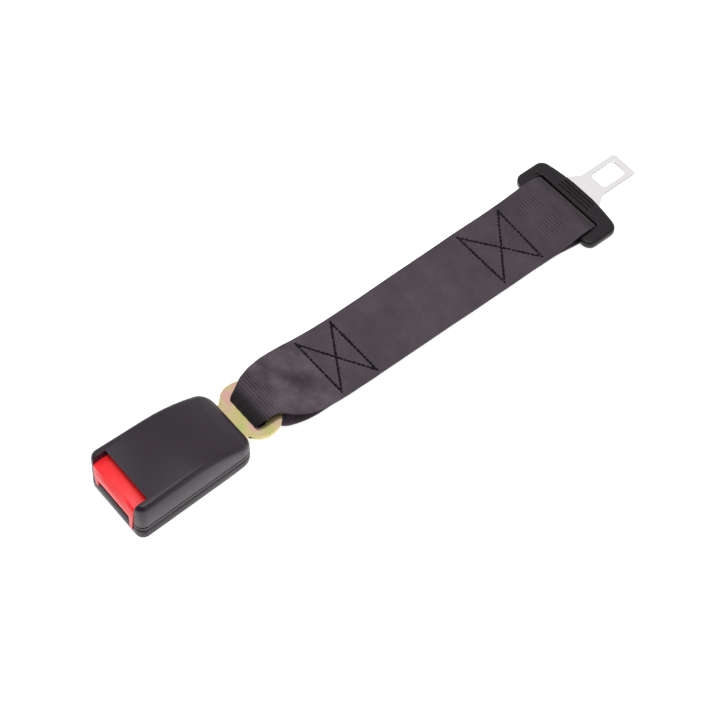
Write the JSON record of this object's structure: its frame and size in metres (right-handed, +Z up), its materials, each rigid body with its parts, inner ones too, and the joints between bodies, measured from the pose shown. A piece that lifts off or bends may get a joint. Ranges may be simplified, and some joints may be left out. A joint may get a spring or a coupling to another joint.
{
  "type": "seat belt extender",
  "caption": "Short strap of folded webbing with a push-button buckle on a slotted anchor plate at one end and a gripped steel tongue at the other.",
  "frame": {"origin": "on the surface it lies on, under the middle of its length and width", "axes": "+X from the buckle to the tongue's tip, +Y to the left of that, +Z up"},
  "size_m": [0.3668, 0.0652, 0.0278],
  "materials": {
    "black_shell": "fine-grained black moulding with a slight sheen",
    "black_grip": "satin black moulding",
    "red_button": "smooth bright red",
    "zinc_yellow": "yellow zinc plating with pink and green tints",
    "bright_steel": "bright plated steel",
    "plain_steel": "plain stamped steel",
    "spring_wire": "drawn spring wire",
    "white_slider": "off-white low-friction plastic",
    "black_webbing": "fine ribbed polyester weave"
  },
  "bodies": {
    "buckle": {"upper_cover": "black_shell", "lower_cover": "black_shell", "latch_frame": "plain_steel", "anchor_plate": "zinc_yellow", "anchor_rivet_left": "zinc_yellow", "anchor_rivet_right": "zinc_yellow", "latch_pin": "bright_steel", "button_spring_left": "spring_wire", "button_spring_right": "spring_wire", "latch_spring": "spring_wire", "ejector_spring": "spring_wire", "cover_screw_left": "plain_steel", "cover_screw_right": "plain_steel"},
    "button": {"press_button": "red_button"},
    "latch": {"latch_plate": "plain_steel"},
    "ejector": {"ejector": "white_slider"},
    "strap": {"webbing": "black_webbing"},
    "tongue": {"tongue_plate": "bright_steel", "tongue_sheath": "black_grip"}
  },
  "joints": [
    {"name": "button_press", "type": "slide", "parent": "buckle", "child": "button", "axis": [1, 0, 0], "range_m": [0, 0.005], "stiffness_N_per_m": 800, "springref_m": -0.003, "deforming": ["button_spring_left", "button_spring_right"]},
    {"name": "latch_swing", "type": "hinge", "parent": "buckle", "child": "latch", "pos_m": [-0.128, 0, 0.0156], "axis": [0, 1, 0], "range_deg": [0, 9.5], "deforming": ["latch_spring"]},
    {"name": "ejector_slide", "type": "slide", "parent": "buckle", "child": "ejector", "axis": [1, 0, 0], "range_m": [0, 0.012], "stiffness_N_per_m": 300, "springref_m": -0.004, "deforming": ["ejector_spring"]},
    {"name": "strap_anchor_swing", "type": "hinge", "parent": "buckle", "child": "strap", "pos_m": [-0.0902, 0, 0.01045], "axis": [0, -1, 0], "range_deg": [0, 20]},
    {"name": "tongue_swing", "type": "hinge", "parent": "strap", "child": "tongue", "pos_m": [0.12715, 0, 0.0049], "axis": [0, -1, 0], "range_deg": [-20, 20]}
  ],
  "couplings": [
    {"joint": "latch_swing", "follows": "button_press", "rad_per_m": 33.1}
  ]
}
